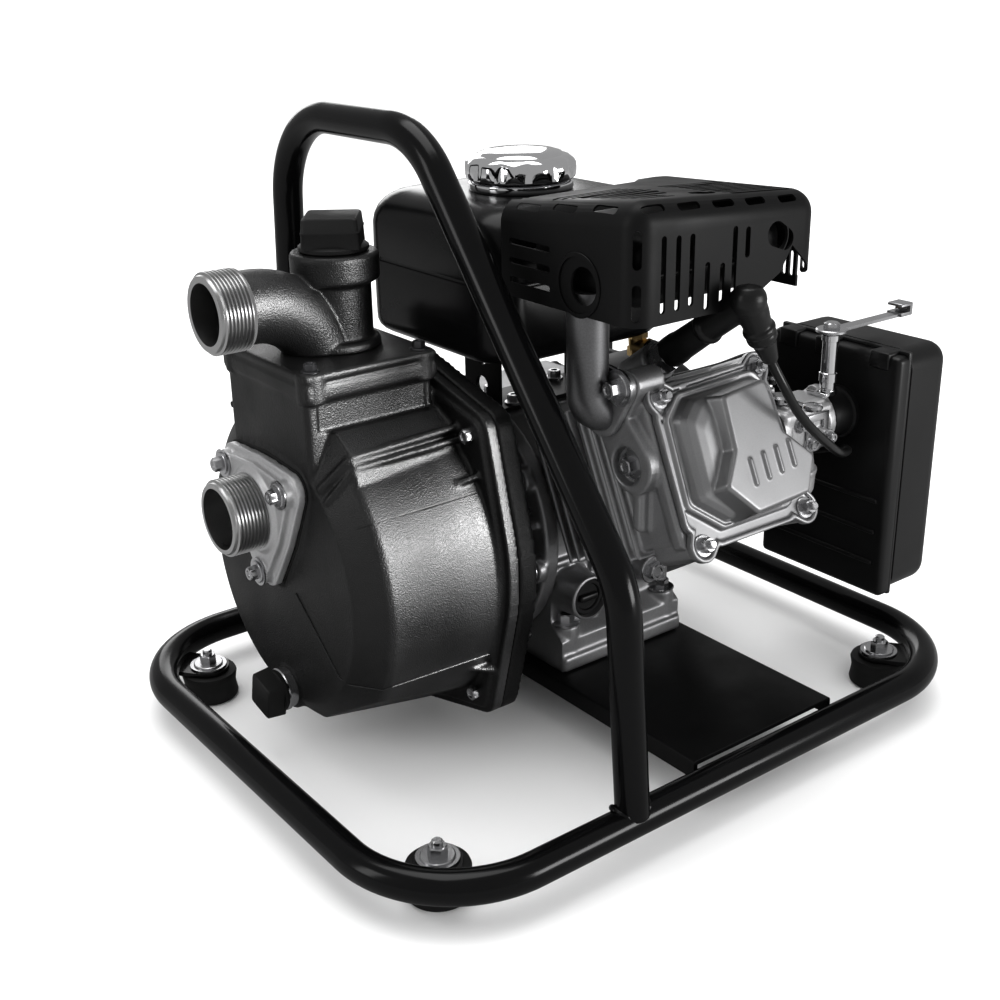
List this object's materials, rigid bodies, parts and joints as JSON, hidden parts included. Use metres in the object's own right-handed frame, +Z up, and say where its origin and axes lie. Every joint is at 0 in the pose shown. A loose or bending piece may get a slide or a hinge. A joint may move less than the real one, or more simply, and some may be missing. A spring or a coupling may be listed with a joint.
{
  "type": "portable fire pump",
  "caption": "Portable petrol fire pump: a small four-stroke engine and a self-priming pump in a bent-tube carrying frame on rubber feet.",
  "frame": {"origin": "on the floor, at the centre of the frame's base loop", "axes": "+X from the pump to the fan end of the engine, +Y from the valve-cover side to the far side, +Z up"},
  "size_m": [0.474, 0.388, 0.3985],
  "materials": {
    "black_gloss_paint": "black gloss enamel on steel",
    "black_cast_paint": "cast aluminium under black textured paint",
    "black_satin_paint": "satin black paint on pressed steel",
    "black_plastic": "satin black moulded plastic",
    "rubber": "matt black rubber",
    "cast_aluminium": "bare die-cast aluminium",
    "satin_aluminium": "satin silver die-cast aluminium",
    "steel": "zinc-plated or ground steel",
    "chrome": "bright chrome plate",
    "cast_iron": "rough cast iron",
    "brass": "plain brass",
    "foam": "dark open-cell foam",
    "rope_fibre": "braided cord"
  },
  "bodies": {
    "frame_and_engine": {"base_loop": "black_gloss_paint", "handle_tube": "black_gloss_paint", "fuel_tank": "black_gloss_paint", "pump_casing": "black_cast_paint", "pump_bracket": "black_cast_paint", "outlet_elbow": "black_cast_paint", "base_plate": "black_satin_paint", "fan_shroud": "black_satin_paint", "starter_cover": "black_satin_paint", "tank_bracket": "black_satin_paint", "muffler": "black_satin_paint", "heat_shield": "black_satin_paint", "ignition_coil": "black_plastic", "intake_insulator": "black_plastic", "intake_duct": "black_plastic", "air_cleaner_back": "black_plastic", "air_cleaner_cover": "black_plastic", "rubber_foot_pump_near": "rubber", "rubber_foot_pump_far": "rubber", "rubber_foot_engine_near": "rubber", "rubber_foot_engine_far": "rubber", "suction_gasket": "rubber", "plug_boot": "rubber", "ignition_lead": "rubber", "fuel_hose": "rubber", "suction_flange": "cast_aluminium", "outlet_nipple": "cast_aluminium", "crankcase": "cast_aluminium", "side_cover": "cast_aluminium", "cylinder_head": "cast_aluminium", "carburettor": "cast_aluminium", "valve_cover": "satin_aluminium", "shaft_seal": "steel", "main_bearing_pump_side": "steel", "main_bearing_fan_side": "steel", "spark_plug": "steel", "lever_post": "chrome", "volute_case": "cast_iron", "fuel_tap": "brass", "air_filter": "foam"},
    "crank": {"crankshaft": "steel", "flywheel": "cast_iron", "impeller": "cast_iron"},
    "cam": {"camshaft": "cast_iron"},
    "piston_group": {"piston": "cast_aluminium", "con_rod": "cast_aluminium"},
    "starter_pull": {"starter_grip": "rubber", "starter_rope": "rope_fibre"},
    "starter_drum": {"starter_pulley": "black_plastic"},
    "cap": {"fuel_cap": "chrome"},
    "priming_plug": {"fill_plug": "rubber"},
    "drain": {"drain_plug": "rubber"},
    "oil_plug": {"oil_filler_plug": "black_plastic"},
    "check_flap": {"check_valve_flap": "rubber"},
    "throttle": {"speed_lever": "steel"},
    "choke": {"choke_lever": "steel"},
    "fuel_valve": {"fuel_tap_lever": "black_plastic"},
    "switch_rocker": {"stop_switch": "black_plastic"}
  },
  "joints": [
    {"name": "crank_turn", "type": "hinge", "parent": "frame_and_engine", "child": "crank", "pos_m": [0.023, 0.044, 0.126], "axis": [1, 0, 0], "continuous": true},
    {"name": "cam_turn", "type": "hinge", "parent": "frame_and_engine", "child": "cam", "pos_m": [0.023, 0.07264, 0.15464], "axis": [1, 0, 0], "continuous": true},
    {"name": "piston_stroke", "type": "slide", "parent": "frame_and_engine", "child": "piston_group", "axis": [0, -0.9063, 0.4226], "range_m": [-0.04, 0]},
    {"name": "starter_rope_pull", "type": "slide", "parent": "frame_and_engine", "child": "starter_pull", "axis": [0, 1, 0], "range_m": [0, 0.7], "stiffness_N_per_m": 20},
    {"name": "starter_pulley_turn", "type": "hinge", "parent": "frame_and_engine", "child": "starter_drum", "pos_m": [0.165, 0.044, 0.126], "axis": [1, 0, 0], "range_deg": [-1120, 0]},
    {"name": "fuel_cap_turn", "type": "hinge", "parent": "frame_and_engine", "child": "cap", "pos_m": [0.011, 0.034, 0.349], "axis": [0, 0, 1], "range_deg": [0, 90]},
    {"name": "fill_plug_turn", "type": "hinge", "parent": "frame_and_engine", "child": "priming_plug", "pos_m": [-0.124, 0.041, 0.321], "axis": [0, 0, 1], "range_deg": [0, 1440]},
    {"name": "drain_plug_turn", "type": "hinge", "parent": "frame_and_engine", "child": "drain", "pos_m": [-0.176, 0.044, 0.0445], "axis": [-1, 0, 0], "range_deg": [0, 1440]},
    {"name": "oil_filler_turn", "type": "hinge", "parent": "frame_and_engine", "child": "oil_plug", "pos_m": [-0.002, -0.05, 0.09], "axis": [0, -1, 0], "range_deg": [0, 1080]},
    {"name": "check_valve_swing", "type": "hinge", "parent": "frame_and_engine", "child": "check_flap", "pos_m": [-0.1732, 0.047, 0.1926], "axis": [0, -1, 0], "range_deg": [0, 40], "stiffness_Nm_per_rad": 0.01},
    {"name": "speed_lever_turn", "type": "hinge", "parent": "frame_and_engine", "child": "throttle", "pos_m": [0.146, -0.112, 0.254], "axis": [0, 0, 1], "range_deg": [-20, 20]},
    {"name": "choke_lever_turn", "type": "hinge", "parent": "frame_and_engine", "child": "choke", "pos_m": [0.108, -0.1055, 0.214], "axis": [0, 0, 1], "range_deg": [-25, 30]},
    {"name": "fuel_tap_turn", "type": "hinge", "parent": "frame_and_engine", "child": "fuel_valve", "pos_m": [0.066, -0.03, 0.24], "axis": [0, 1, 0], "range_deg": [0, 90]},
    {"name": "stop_switch_rock", "type": "hinge", "parent": "frame_and_engine", "child": "switch_rocker", "pos_m": [0.158, 0.1, 0.185], "axis": [0, 1, 0], "range_deg": [-10, 10]}
  ],
  "couplings": [
    {"joint": "cam_turn", "follows": "crank_turn", "ratio": -0.5},
    {"joint": "starter_pulley_turn", "follows": "starter_rope_pull", "rad_per_m": -27.778}
  ]
}
